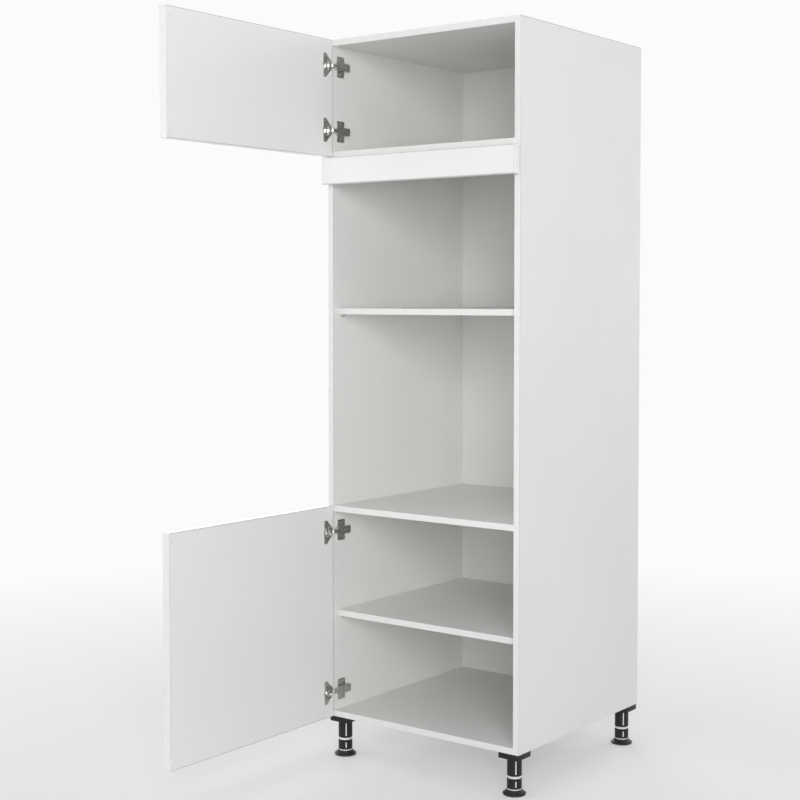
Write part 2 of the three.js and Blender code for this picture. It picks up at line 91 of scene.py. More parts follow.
# Patterns in the surface itself
SPECKLE = {"range": (0.62, 0.75), "shade": 0.02}
CHIPS = {"stretch": (1.0, 1.0, 0.35), "scale": 420.0}
FIBRES = {"stretch": (1, 1, 0.3), "noise": (380.0, 4.0, 0.65), "range": (0.3, 0.7)}
STREAK_NOISE = (1.0, 3.0, 0.6)  # on a point already stretched by the streaks' own scale
MOULD_GRAIN = {"detail": (3.0, 0.6), "range": (0.3, 0.7)}
WEAR_REACH = 4 * MM  # how far edge wear comes in from an arris
WEAR_FALL = 2.0  # the power by which it dies away

# How each finish uses them
FACE = {"shade": 0.025, "wear": 0.06, "seam": 0.8, "specular": 0.35, "grain": 0.03 * MM}
CARCASS_ROUGHNESS = 0.5
FRONT_ROUGHNESS = 0.36
BACK = {"shade": 0.03, "roughness": 0.6, "grain": 0.04 * MM}
PRIMER_ROUGHER = 0.25
NAIL_SMOOTHER = 0.45
METAL = {"spread": 0.16, "dull": 0.7, "grain": 0.01 * MM}
PLASTIC = {"spread": 0.06, "specular": 0.3, "grain": 0.04 * MM}

# ---- Sizes ----------------------------------------------------------------------------------

BAND = 1.0 * MM  # edge band on the boards and fronts
SEAM = 0.9 * MM  # joint between the band and the face
FACE_DEPTH = 1.2 * MM  # how near a broad face counts as on it
RAW_DEPTH = 0.3 * MM  # the unfaced edge of a board

NAIL = {"pitch": 95 * MM, "inset": 4 * MM, "radius": 2.1 * MM}
# painted shade: how far the shadow line at the joint reaches in from each back panel's edge
JOINT_SHADE_REACH = 0.6 * MM  # half of the joint between two back panels

CUP_RIM = 18.6 * MM
FLANGE_SETBACK = 9.5 * MM
FLANGE_SCREW_SPREAD = 25 * MM
PLATE_SCREW_SPREAD = 18.5 * MM
PLATE_SCREW_FROM_FRONT = 30 * MM
PLATE_WING = 2.5 * MM
BRACKET_SCREW_SPREAD = 10 * MM
BRACKET_PLATE = 2 * MM
SOCKET_SCREW_SPREAD = 22 * MM

# Screw heads: the unit dome that is scaled to each, and the cross recess as shares of the head
HEAD_FACETS = {"Segments": 24, "Rings": 12, "Radius": 1.0}
RECESS = {"length": 1.15, "width": 0.24, "heights": (0.95, 0.92)}
WOOD_SCREW = {"radius": 3.6 * MM, "dome": 0.9 * MM}
SMALL_SCREW = {"radius": 2.9 * MM, "dome": 0.8 * MM}

BUFFER = {"radius": 4 * MM, "dome": 2.2 * MM, "from_edge": 7.5 * MM, "from_end": 22 * MM}

# Rounding of the fittings' corners, by what a node's name holds
ROUNDING = {
    "_cup": 0.25 * MM,
    "_arm": 0.35 * MM,
    "_plate": 0.4 * MM,
    "_screw": 0.2 * MM,
    "_socket": 0.5 * MM,
    "_support": 0.3 * MM,
    "bracket": 0.4 * MM,
}
ROUNDING_STEPS = 2
SAME_POINT = 0.002 * MM
SAME_PLANE = math.radians(0.5)
SMOOTH_BELOW = math.radians(50)
TURNED_SMOOTH_BELOW = math.radians(32)

# Legs: radii and heights in millimetres from the floor, for a leg on its own axis
LEG_STEPS = 72
LEG_RADIUS = 18.5
SLOT_COUNT = 4
SLOT_WIDTH = 3.2
SLOT_FLOOR = 16.9
SLOT_LIP = math.radians(0.12)
SLOT_END = 0.1
RIB_DEPTH = 0.35
# size of the pale strips that paint a highlight in the legs' slots
STRIP = {"thick": 1.1, "width": 2.9}
FOOT_SLOT = (21.3, 35.5)
TUBE_SLOT = (53, 91.5)

FOOT_PROFILE = [
    (0, 0),
    (26.4, 0),
    (27.9, 0.6),
    (28.7, 2.0),
    (28.7, 4.4),
    (28.2, 5.2),
    (26.1, 6.0),
    (23.9, 7.3),
    (22.0, 9.1),
    (20.6, 11.2),
    (19.7, 13.5),
    (17.0, 13.5),
    (17.0, 16.3),
    (18.0, 16.3),
    (LEG_RADIUS, 16.8),
    (LEG_RADIUS, 17.4),
    (LEG_RADIUS, 17.8, "ribs"),
    (LEG_RADIUS, FOOT_SLOT[0], "ribs"),
    (LEG_RADIUS, FOOT_SLOT[0] + SLOT_END, "ribs", "slots"),
    (LEG_RADIUS, FOOT_SLOT[1] - SLOT_END, "ribs", "slots"),
    (LEG_RADIUS, FOOT_SLOT[1], "ribs"),
    (LEG_RADIUS, 38.6, "ribs"),
    (LEG_RADIUS, 39.0),
    (LEG_RADIUS, 40.0),
    (18.1, 40.8),
    (14.5, 44.5),
    (14.5, 47.7),
    (9, 47.7),
    (9, 79.7),
    (0, 79.7),
]

TUBE_PROFILE = [
    (0, 80.3),
    (9.3, 80.3),
    (9.3, 48),
    (17.9, 48),
    (LEG_RADIUS, 48.6),
    (LEG_RADIUS, TUBE_SLOT[0]),
    (LEG_RADIUS, TUBE_SLOT[0] + SLOT_END, "slots"),
    (LEG_RADIUS, TUBE_SLOT[1] - SLOT_END, "slots"),
    (LEG_RADIUS, TUBE_SLOT[1]),
    (18.2, 91.9),
    (16.5, 91.9),
    (16.5, 93),
    (15, 93),
    (15, 103),
    (0, 103),
]

# pale rings that paint highlights: the collar, the foot's groove and the head of the tube
COLLAR_PROFILE = [
    (14.5, 44.6),
    (17.2, 41.9),
    (17.5, 42.2),
    (17.5, 47.4),
    (17.2, 47.7),
    (14.5, 47.7),
]
GROOVE_RING_PROFILE = [(17.0, 13.6), (18.2, 13.6), (18.2, 16.2), (17.0, 16.2)]
HEAD_RING_PROFILE = [(16.6, 92.0), (18.2, 92.0), (18.2, 92.9), (16.6, 92.9)]

# Studio, in metres, watts and degrees
FLOOR_REACH = 30.0
FLOOR_BELOW = 0.4 * MM  # clear of the soles
FLOOR_ROUGHNESS = 0.9
FLOOR_LIFT = 0.27  # backdrop colour that the camera sees added to the floor
FLOOR_FADE = (1.0, 3.2)  # where the floor runs out into the backdrop
SKY_STRENGTH = 0.42
LAMP_AIM = (0, 0.1, 0.9)
LAMP_SIZE = 3.0
LAMPS = {
    "key": ((4.0, -4.9, 2.0), 228),
    "fill": ((-5.3, -3.4, 2.0), 60),
    "rear left": ((-4.6, 4.6, 2.4), 100),
    "rear right": ((2.2, 6.2, 2.2), 70),
    "top": ((0.0, 0.3, 5.2), 16),
}
CAMERA = {"place": (2.2582, -3.0349, 1.2171), "down": 2.324, "round": 37.394}
CAMERA_LENS = 67.44
CAMERA_SHIFT = -0.05

# ---- Names of the nodes ---------------------------------------------------------------------

DOORS = ("upper", "lower")
LEVELS = ("lower", "upper")
ROWS = ("front", "rear")
SIDES = ("left", "right")

BODY_OF = {
    node: body
    for body, members in frame["record"]["behaviour"]["bodies"].items()
    for node in members
}


# ---- Node trees -----------------------------------------------------------------------------


def add(tree, kind, settings=None, inputs=None):
    """A node with its settings and inputs. An input is a value or another node's output."""
    made = tree.nodes.new(kind)
    for name, value in (settings or {}).items():
        setattr(made, name, value)
    for name, value in (inputs or {}).items():
        if isinstance(value, bpy.types.NodeSocket):
            tree.links.new(value, made.inputs[name])
        else:
            made.inputs[name].default_value = value
    return made


def calc(tree, operation, *values):
    """The result of a Math node."""
    node = add(tree, "ShaderNodeMath", {"operation": operation}, dict(enumerate(values)))
    return node.outputs[0]


def vector_calc(tree, operation, *values, output="Vector"):
    """The result of a Vector Math node."""
    node = add(tree, "ShaderNodeVectorMath", {"operation": operation}, dict(enumerate(values)))
    return node.outputs[output]


def scaled(tree, vector, factor):
    """A vector or colour times a factor."""
    inputs = {0: vector, "Scale": factor}
    node = add(tree, "ShaderNodeVectorMath", {"operation": "SCALE"}, inputs)
    return node.outputs[0]


MIX_INPUTS = (0, 6, 7)  # factor, first colour and second colour of a Mix node
MIX_COLOUR = 2


def mixed(tree, factor, first, second):
    """Two colours mixed by a factor."""
    node = add(tree, "ShaderNodeMix", {"data_type": "RGBA"})
    for index, value in zip(MIX_INPUTS, (factor, first, second)):
        if isinstance(value, bpy.types.NodeSocket):
            tree.links.new(value, node.inputs[index])
        else:
            node.inputs[index].default_value = (*value, 1)
    return node.outputs[MIX_COLOUR]


def ramped(tree, value, from_low, from_high, to_low=0.0, to_high=1.0):
    """A value mapped from one range to another and held inside it."""
    inputs = {"Value": value, "From Min": from_low, "From Max": from_high}
    inputs.update({"To Min": to_low, "To Max": to_high})
    return add(tree, "ShaderNodeMapRange", None, inputs).outputs["Result"]


def noise(tree, vector, scale, detail=2.0, roughness=0.5):
    inputs = {"Vector": vector, "Scale": scale, "Detail": detail, "Roughness": roughness}
    return add(tree, "ShaderNodeTexNoise", None, inputs).outputs["Fac"]


def mottled(tree, vector, pattern):
    """A noise drawn out to a range, as one of the mottled patterns says."""
    return ramped(tree, noise(tree, vector, *pattern["noise"]), *pattern["range"])


def object_point(tree):
    """A place on the piece, in the object's own frame."""
    return add(tree, "ShaderNodeTexCoord").outputs["Object"]


def split(tree, vector):
    return add(tree, "ShaderNodeSeparateXYZ", None, {0: vector}).outputs


def combined(tree, x=0.0, y=0.0, z=0.0):
    return add(tree, "ShaderNodeCombineXYZ", None, {0: x, 1: y, 2: z}).outputs[0]


SOCKETS = {
    "float": "NodeSocketFloat",
    "vector": "NodeSocketVector",
    "colour": "NodeSocketColor",
}


def shader_group(name, inputs, outputs):
    """A shader node group with named sockets: its tree, its inputs and its output node."""
    tree = bpy.data.node_groups.new(name, "ShaderNodeTree")
    for label, kind, default in inputs:
        socket = tree.interface.new_socket(label, in_out="INPUT", socket_type=SOCKETS[kind])
        socket.default_value = default
    for label, kind in outputs:
        tree.interface.new_socket(label, in_out="OUTPUT", socket_type=SOCKETS[kind])
    given = tree.nodes.new("NodeGroupInput").outputs
    result = tree.nodes.new("NodeGroupOutput")
    return tree, given, result


def put_out(tree, result, **values):
    """Links values to a group's outputs by name."""
    for label, value in values.items():
        tree.links.new(value, result.inputs[label])


# ---- Shared effects -------------------------------------------------------------------------


def melamine_group():
    """Fine pearl grain, faint clouds and finger marks on a foil or melamine face."""
    tree, given, result = shader_group(
        "Melamine",
        [
            ("Colour", "colour", (0.8, 0.8, 0.8, 1)),
            ("Shade", "float", 0.03),
            ("Roughness", "float", 0.5),
            ("Grain", "float", 650.0),
        ],
        [("Colour", "colour"), ("Roughness", "float"), ("Height", "float")],
    )
    point = object_point(tree)
    fine = noise(tree, point, given["Grain"])
    darkening = calc(tree, "MULTIPLY", mottled(tree, point, CLOUDS), given["Shade"])
    speckle = calc(tree, "MULTIPLY", ramped(tree, fine, *SPECKLE["range"]), SPECKLE["shade"])
    shade = calc(tree, "SUBTRACT", calc(tree, "SUBTRACT", 1.0, darkening), speckle)
    colour = scaled(tree, given["Colour"], shade)
    marks = mottled(tree, point, FINGER_MARKS)
    roughness = calc(tree, "SUBTRACT", given["Roughness"], marks)
    put_out(tree, result, Colour=colour, Roughness=roughness, Height=fine)
    return tree


def edge_band_group():
    """The joint line of an edge band on a board's broad faces, and wear along its arrises."""
    tree, given, result = shader_group(
        "Edge band",
        [
            ("Low", "vector", (0, 0, 0)),
            ("High", "vector", (1, 1, 1)),
            ("Thin", "vector", (1, 0, 0)),
            ("Band", "float", BAND),
            ("Seam", "float", SEAM),
        ],
        [("Seam", "float"), ("Wear", "float")],
    )
    point = object_point(tree)
    from_low = vector_calc(tree, "SUBTRACT", point, given["Low"])
    from_high = vector_calc(tree, "SUBTRACT", given["High"], point)
    reach = vector_calc(tree, "MINIMUM", from_low, from_high)
    across = vector_calc(tree, "DOT_PRODUCT", reach, given["Thin"], output="Value")
    on_face = calc(tree, "LESS_THAN", across, FACE_DEPTH)
    parts = split(tree, vector_calc(tree, "ADD", reach, given["Thin"]))
    nearest = calc(tree, "MINIMUM", calc(tree, "MINIMUM", parts[X], parts[Y]), parts[Z])
    middle = calc(tree, "MULTIPLY_ADD", given["Seam"], 0.5, given["Band"])
    line = calc(tree, "COMPARE", nearest, middle, calc(tree, "MULTIPLY", given["Seam"], 0.5))
    seam = calc(tree, "MULTIPLY", line, on_face)
    patches = mottled(tree, point, WORN_PATCHES)
    close = ramped(tree, nearest, 0.0, WEAR_REACH, 1.0, 0.0)
    wear = calc(tree, "MULTIPLY", calc(tree, "POWER", close, WEAR_FALL), patches)
    put_out(tree, result, Seam=seam, Wear=wear)
    return tree


def chipboard_group():
    """Pressed chips on an unfaced edge."""
    tree, _, result = shader_group("Chipboard", [], [("Colour", "colour")])
    stretched = vector_calc(tree, "MULTIPLY", object_point(tree), CHIPS["stretch"])
    inputs = {"Vector": stretched, "Scale": CHIPS["scale"]}
    chips = add(tree, "ShaderNodeTexVoronoi", None, inputs)
    tone = add(tree, "ShaderNodeSeparateColor", None, {0: chips.outputs["Color"]}).outputs[0]
    put_out(tree, result, Colour=mixed(tree, tone, CHIP_DARK, CHIP_LIGHT))
    return tree


def nail_heads_and_joint_shade_group():
    """Flush round heads along the four edges of a back panel, and a painted shadow line along
    its border, where the joint lies.
    """
    tree, given, result = shader_group(
        "Nail heads and joint shade",
        [
            ("Low", "vector", (0, 0, 0)),
            ("High", "vector", (1, 1, 1)),
            ("Pitch", "vector", (0.1, 0.1, 0.1)),
            ("Inset", "float", NAIL["inset"]),
            ("Radius", "float", NAIL["radius"]),
            ("Joint", "float", JOINT_SHADE_REACH),
        ],
        [("Mask", "float"), ("Joint", "float")],
    )
    point = object_point(tree)
    from_low = vector_calc(tree, "SUBTRACT", point, given["Low"])
    from_high = vector_calc(tree, "SUBTRACT", given["High"], point)
    reach = split(tree, vector_calc(tree, "MINIMUM", from_low, from_high))
    step = vector_calc(tree, "FRACTION", vector_calc(tree, "DIVIDE", from_low, given["Pitch"]))
    centred = vector_calc(tree, "SUBTRACT", step, (0.5, 0.5, 0.5))
    along = split(tree, vector_calc(tree, "MULTIPLY", centred, given["Pitch"]))
    heads = []
    for edge, run in ((X, Z), (Z, X)):
        aside = calc(tree, "SUBTRACT", reach[edge], given["Inset"])
        spot = combined(tree, aside, along[run])
        distance = vector_calc(tree, "LENGTH", spot, output="Value")
        heads.append(calc(tree, "LESS_THAN", distance, given["Radius"]))
    nearest = calc(tree, "MINIMUM", reach[X], reach[Z])
    # painted shade: a dark line along the panel's border, where the joint would lie in shade
    joint = calc(tree, "LESS_THAN", nearest, given["Joint"])
    put_out(tree, result, Mask=calc(tree, "MAXIMUM", *heads), Joint=joint)
    return tree


def brushed_group():
    """Drawn or brushed metal: long fine streaks in roughness and height."""
    tree, given, result = shader_group(
        "Brushed",
        [
            ("Streaks", "vector", (60, 900, 900)),
            ("Roughness", "float", 0.3),
            ("Spread", "float", 0.15),
        ],
        [("Roughness", "float"), ("Height", "float"), ("Tarnish", "float")],
    )
    point = object_point(tree)
    stretched = vector_calc(tree, "MULTIPLY", point, given["Streaks"])
    streaks = noise(tree, stretched, *STREAK_NOISE)
    offset = calc(tree, "MULTIPLY", calc(tree, "SUBTRACT", streaks, 0.5), given["Spread"])
    roughness = calc(tree, "ADD", given["Roughness"], offset)
    tarnish = mottled(tree, point, TARNISH_SPOTS)
    put_out(tree, result, Roughness=roughness, Height=streaks, Tarnish=tarnish)
    return tree


def dust_group():
    """Pale dust that thins out upwards from the floor."""
    tree, given, result = shader_group(
        "Dust",
        [("Colour", "colour", (0, 0, 0, 1)), ("Top", "float", 0.03), ("Amount", "float", 0.2)],
        [("Colour", "colour"), ("Mask", "float")],
    )
    point = object_point(tree)
    rise = calc(tree, "DIVIDE", split(tree, point)[Z], given["Top"])
    low = ramped(tree, rise, 0.0, 1.0, 1.0, 0.0)
    patches = mottled(tree, point, DUST_PATCHES)
    mask = calc(tree, "MULTIPLY", calc(tree, "MULTIPLY", low, patches), given["Amount"])
    put_out(tree, result, Colour=mixed(tree, mask, given["Colour"], DUST_TONE), Mask=mask)
    return tree


MELAMINE = melamine_group()
EDGE_BAND = edge_band_group()
CHIPBOARD = chipboard_group()
NAIL_HEADS_AND_JOINT_SHADE = nail_heads_and_joint_shade_group()
BRUSHED = brushed_group()
DUST = dust_group()


# ---- Materials ------------------------------------------------------------------------------


def material(name):
    """A new material: itself, its tree and its Principled BSDF."""
    made = bpy.data.materials.new(name)
    made.use_nodes = True
    return made, made.node_tree, made.node_tree.nodes["Principled BSDF"]


def placed(tree, group, inputs=None):
    """A shared effect placed in a material."""
    return add(tree, "ShaderNodeGroup", {"node_tree": group}, inputs).outputs


def bump(tree, shader, height, distance):
    """Puts a height, in metres, on a shader."""
    node = add(tree, "ShaderNodeBump", None, {"Height": height, "Distance": distance})
    tree.links.new(node.outputs[0], shader.inputs["Normal"])


def face_finish(name, colour, roughness, band, raw_from=None):
    """White board with banded edges. Past raw_from, at the rear and underneath, chips show."""
    made, tree, shader = material(name)
    inputs = {"Colour": (*colour, 1), "Shade": FACE["shade"], "Roughness": roughness}
    face = placed(tree, MELAMINE, inputs)
    edge = placed(tree, EDGE_BAND, band)
    wear = calc(tree, "MULTIPLY", edge["Wear"], FACE["wear"])
    seam = calc(tree, "MULTIPLY", edge["Seam"], FACE["seam"])
    finish = mixed(tree, seam, mixed(tree, wear, face["Colour"], SEAM_GREY), SEAM_GREY)
    if raw_from:
        core = placed(tree, CHIPBOARD)
        parts = split(tree, object_point(tree))
        at_rear = calc(tree, "GREATER_THAN", parts[Y], raw_from["rear"] - RAW_DEPTH)
        beneath = calc(tree, "LESS_THAN", parts[Z], raw_from["bottom"] + RAW_DEPTH)
        raw = calc(tree, "MAXIMUM", at_rear, beneath)
        finish = mixed(tree, raw, finish, core["Colour"])
    tree.links.new(finish, shader.inputs["Base Color"])
    tree.links.new(face["Roughness"], shader.inputs["Roughness"])
    shader.inputs["Specular IOR Level"].default_value = FACE["specular"]
    bump(tree, shader, face["Height"], FACE["grain"])
    return made


def back_finish(node):
    """Thin back board: white foil inside, pale primer with nail heads and a painted shadow line
    at its border outside, bare edges.
    """
    made, tree, shader = material(f"{node} board")
    low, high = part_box(node)
    white = (*SLOT_COLOURS["back_board"], 1)
    inputs = {"Colour": white, "Shade": BACK["shade"], "Roughness": BACK["roughness"]}
    face = placed(tree, MELAMINE, inputs)
    point = object_point(tree)
    stretched = vector_calc(tree, "MULTIPLY", point, FIBRES["stretch"])
    fibres = noise(tree, stretched, *FIBRES["noise"])
    primed = mixed(tree, ramped(tree, fibres, *FIBRES["range"]), PRIMER_DULL, PRIMER)
    size = high - low
    pitch = [side / max(1, round(side / NAIL["pitch"])) for side in size]
    heads = placed(tree, NAIL_HEADS_AND_JOINT_SHADE, {"Low": low, "High": high, "Pitch": pitch})
    # painted shade at the joint along the panel's border
    joint_shaded = mixed(tree, heads["Joint"], primed, JOINT_SHADE_GREY)
    nailed = mixed(tree, heads["Mask"], joint_shaded, NAIL_GREY)
    depth = split(tree, point)[Y]
    past_foil = calc(tree, "GREATER_THAN", depth, low.y + RAW_DEPTH)
    outside = calc(tree, "GREATER_THAN", depth, high.y - RAW_DEPTH)
    inner = mixed(tree, past_foil, face["Colour"], HARDBOARD)
    tree.links.new(mixed(tree, outside, inner, nailed), shader.inputs["Base Color"])
    dull = calc(tree, "MULTIPLY_ADD", outside, PRIMER_ROUGHER, face["Roughness"])
    roughness = calc(tree, "MULTIPLY_ADD", heads["Mask"], -NAIL_SMOOTHER, dull)
    tree.links.new(roughness, shader.inputs["Roughness"])
    tree.links.new(calc(tree, "MULTIPLY", heads["Mask"], outside), shader.inputs["Metallic"])
    bump(tree, shader, fibres, BACK["grain"])
    return made


def metal(name, slot, roughness, streaks, tarnish):
    """Plated steel in a slot's colour, brushed along its length, with faint tarnish."""
    made, tree, shader = material(name)
    colour = SLOT_COLOURS[slot]
    inputs = {"Streaks": streaks, "Roughness": roughness, "Spread": METAL["spread"]}
    finish = placed(tree, BRUSHED, inputs)
    dull = tuple(METAL["dull"] * share for share in colour)
    tone = calc(tree, "MULTIPLY", finish["Tarnish"], tarnish)
    tree.links.new(mixed(tree, tone, colour, dull), shader.inputs["Base Color"])
    tree.links.new(finish["Roughness"], shader.inputs["Roughness"])
    shader.inputs["Metallic"].default_value = 1.0
    bump(tree, shader, finish["Height"], METAL["grain"])
    return made


def moulded(name, colour, roughness, grain, dust=0.0):
    """Moulded plastic with a fine spark-eroded grain, dusty near the floor."""
    made, tree, shader = material(name)
    point = object_point(tree)
    fine = noise(tree, point, grain, *MOULD_GRAIN["detail"])
    toned = scaled(tree, colour, mottled(tree, point, BLOTCHES))
    dusty = placed(tree, DUST, {"Colour": toned, "Amount": dust})
    tree.links.new(dusty["Colour"], shader.inputs["Base Color"])
    spread = (roughness - PLASTIC["spread"], roughness + PLASTIC["spread"])
    matt = ramped(tree, fine, *MOULD_GRAIN["range"], *spread)
    tree.links.new(calc(tree, "ADD", matt, dusty["Mask"]), shader.inputs["Roughness"])
    shader.inputs["Specular IOR Level"].default_value = PLASTIC["specular"]
    bump(tree, shader, fine, PLASTIC["grain"])
    return made


NICKEL = metal("nickel plate", "hinge_nickel", 0.28, streaks=(900, 60, 900), tarnish=0.35)
ZINC = metal("zinc plate", "screw_steel", 0.36, streaks=(500, 500, 500), tarnish=0.5)
SUPPORT_NICKEL = metal(
    "support nickel", "shelf_support", 0.3, streaks=(80, 800, 800), tarnish=0.3
)
BRACKET_ZINC = metal("bracket zinc", "bracket_steel", 0.4, streaks=(500, 500, 60), tarnish=0.5)
LEG_BLACK = moulded("black leg plastic", LEG_TONE, 0.45, grain=900.0, dust=0.05)
# painted highlight: pale plastic for the legs' slot strips and rings
PAINTED_HIGHLIGHT_PLASTIC = moulded("pale plastic painted highlight", PAINTED_HIGHLIGHT_PALE, 0.4, grain=900.0)
CLEAR = moulded("clear buffer", BUFFER_CLEAR, 0.25, grain=400.0)


# ---- Boards and fronts ----------------------------------------------------------------------


def dress(node, finish):
    """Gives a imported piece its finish."""
    slots = frame["nodes"][node].data.materials
    slots.clear()
    slots.append(finish)


OUT_OF_REACH = 1.0  # moves a side so far off that no band shows there


def band_inputs(node, thin, bare=""):
    """The edge band's inputs for one board. Sides named in bare have no band."""
    low, high = (Vector(corner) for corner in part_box(node))
    for axis, letter in enumerate("xyz"):
        if "-" + letter in bare.split():
            low[axis] -= OUT_OF_REACH
        if "+" + letter in bare.split():
            high[axis] += OUT_OF_REACH
    return {"Low": low, "High": high, "Thin": thin}


def dress_carcass_board(node, thin, bare="", raw_from=None):
    """Gives a carcass board or a shelf its white melamine."""
    band = band_inputs(node, thin, bare)
    colour = SLOT_COLOURS["carcass_board"]
    finish = face_finish(f"{node} white", colour, CARCASS_ROUGHNESS, band, raw_from)
    dress(node, finish)


def dress_boards():
    for side in SIDES:
        node = f"side_panel_{side}"
        low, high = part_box(node)
        raw = {"rear": high.y, "bottom": low.z}
        dress_carcass_board(node, (1, 0, 0), bare="+y -z", raw_from=raw)
    for node in ("bottom_panel", "top_panel", "oven_shelf", "upper_shelf"):
        dress_carcass_board(node, (0, 0, 1), bare="-x +x +y")
    for node in ("niche_shelf", "lower_shelf"):
        dress_carcass_board(node, (0, 0, 1))
    for level in ("lower", "middle", "upper"):
        dress(f"back_panel_{level}", back_finish(f"back_panel_{level}"))


def dress_fronts():
    white = SLOT_COLOURS["front_board"]
    for door in DOORS:
        node = f"{door}_door"
        band = band_inputs(node, (1, 0, 0))
        dress(node, face_finish(f"{node} white", white, FRONT_ROUGHNESS, band))
    band = band_inputs("filler_strip", (0, 1, 0))
    dress("filler_strip", face_finish("filler strip white", white, FRONT_ROUGHNESS, band))


# ---- Fittings -------------------------------------------------------------------------------


def new_object(name, mesh):
    made = bpy.data.objects.new(name, mesh)
    bpy.context.scene.collection.objects.link(made)
    return made


def rounded(node, width, finish):
    """A pressed or cast fitting in its own place, with its corners rounded."""
    work = bmesh.new()
    work.from_mesh(frame["nodes"][node].data)
    bmesh.ops.remove_doubles(work, verts=work.verts, dist=SAME_POINT)
    bmesh.ops.dissolve_limit(work, angle_limit=SAME_PLANE, verts=work.verts, edges=work.edges)
    for face in work.faces:
        face.smooth = True
        face.material_index = 0
    mesh = bpy.data.meshes.new(f"{node}_rounded")
    work.to_mesh(mesh)
    work.free()
    mesh.set_sharp_from_angle(angle=SMOOTH_BELOW)
    mesh.materials.append(finish)
    made = new_object(mesh.name, mesh)
    bevel = made.modifiers.new("rounding", "BEVEL")
    bevel.width = width
    bevel.segments = ROUNDING_STEPS
    bevel.limit_method = "ANGLE"
    bevel.angle_limit = SMOOTH_BELOW
    bevel.harden_normals = True
    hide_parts(node)
    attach(made, BODY_OF[node])


def fit_fittings():
    """Rounds each fitting whose name holds a mark. The pins keep their mesh."""
    kinds = (
        ("_cup", NICKEL, "hinge_nickel"),
        ("_arm", NICKEL, "hinge_nickel"),
        ("_plate", NICKEL, "hinge_nickel"),
        ("_screw", ZINC, "screw_steel"),
        ("_socket", LEG_BLACK, "leg_plastic"),
        ("_support", SUPPORT_NICKEL, "shelf_support"),
        ("bracket", BRACKET_ZINC, "bracket_steel"),
    )
    for node in sorted(frame["nodes"]):
        if node.endswith("_pin"):
            dress(node, ZINC)
        for mark, finish, slot in kinds:
            if mark in node:
                rounded(node, ROUNDING[mark], finish)


# ---- Repeated pieces ------------------------------------------------------------------------


def geometry_tree(name, inputs):
    """A Geometry Nodes tree with named inputs: itself, its inputs and its output node."""
    tree = bpy.data.node_groups.new(name, "GeometryNodeTree")
    tree.interface.new_socket("Places", in_out="INPUT", socket_type="NodeSocketGeometry")
    for label, kind in inputs:
        tree.interface.new_socket(label, in_out="INPUT", socket_type="NodeSocket" + kind)
    tree.interface.new_socket("Geometry", in_out="OUTPUT", socket_type="NodeSocketGeometry")
    given = tree.nodes.new("NodeGroupInput").outputs
    result = tree.nodes.new("NodeGroupOutput")
    return tree, given, result


def transformed(tree, geometry, **inputs):
    return add(tree, "GeometryNodeTransform", None, {"Geometry": geometry, **inputs}).outputs[0]


def close_tree(tree, geometry, finish, result):
    """Ends a tree in plain geometry with its material."""
    real = add(tree, "GeometryNodeRealizeInstances", None, {"Geometry": geometry})
    inputs = {"Geometry": real.outputs[0], "Material": finish}
    done = add(tree, "GeometryNodeSetMaterial", None, inputs)
    tree.links.new(done.outputs[0], result.inputs["Geometry"])


RANDOM_MAX, RANDOM_FLOAT = 3, 1  # the highest float and the float output of a Random Value


def screw_heads_tree():
    """Low domed heads, cross-recessed where asked, each turned its own way."""
    inputs = [
        ("Radius", "Float"),
        ("Dome", "Float"),
        ("Recess", "Bool"),
        ("Facing", "Rotation"),
        ("Seed", "Int"),
        ("Material", "Material"),
    ]
    tree, given, result = geometry_tree("Screw heads", inputs)
    ball = add(tree, "GeometryNodeMeshUVSphere", None, HEAD_FACETS)
    size = combined(tree, given["Radius"], given["Radius"], given["Dome"])
    dome = transformed(tree, ball.outputs["Mesh"], Scale=size)
    smooth = add(tree, "GeometryNodeSetShadeSmooth", None, {"Geometry": dome}).outputs[0]
    long = calc(tree, "MULTIPLY", given["Radius"], RECESS["length"])
    wide = calc(tree, "MULTIPLY", given["Radius"], RECESS["width"])
    size = combined(tree, long, wide, given["Dome"])
    bar = add(tree, "GeometryNodeMeshCube", None, {"Size": size})
    cut = {"operation": "DIFFERENCE", "solver": "EXACT"}
    cross = add(tree, "GeometryNodeMeshBoolean", cut, {"Mesh 1": smooth})
    for turn, height in zip((0.0, math.pi / 2), RECESS["heights"]):
        lift = combined(tree, z=calc(tree, "MULTIPLY", given["Dome"], height))
        arm = transformed(tree, bar.outputs["Mesh"], Translation=lift, Rotation=(0, 0, turn))
        tree.links.new(arm, cross.inputs["Mesh 2"])
    inputs = {"Switch": given["Recess"], "False": smooth, "True": cross.outputs["Mesh"]}
    head = add(tree, "GeometryNodeSwitch", {"input_type": "GEOMETRY"}, inputs)
    inputs = {RANDOM_MAX: math.pi, "Seed": given["Seed"]}
    spin = add(tree, "FunctionNodeRandomValue", {"data_type": "FLOAT"}, inputs)
    about = combined(tree, z=spin.outputs[RANDOM_FLOAT])
    spun = add(tree, "FunctionNodeEulerToRotation", None, {0: about})
    inputs = {0: given["Facing"], 1: spun.outputs[0]}
    turned = add(tree, "FunctionNodeRotateRotation", {"rotation_space": "LOCAL"}, inputs)
    inputs = {
        "Points": given["Places"],
        "Instance": head.outputs[0],
        "Rotation": turned.outputs[0],
    }
    heads = add(tree, "GeometryNodeInstanceOnPoints", None, inputs)
    close_tree(tree, heads.outputs[0], given["Material"], result)
    return tree


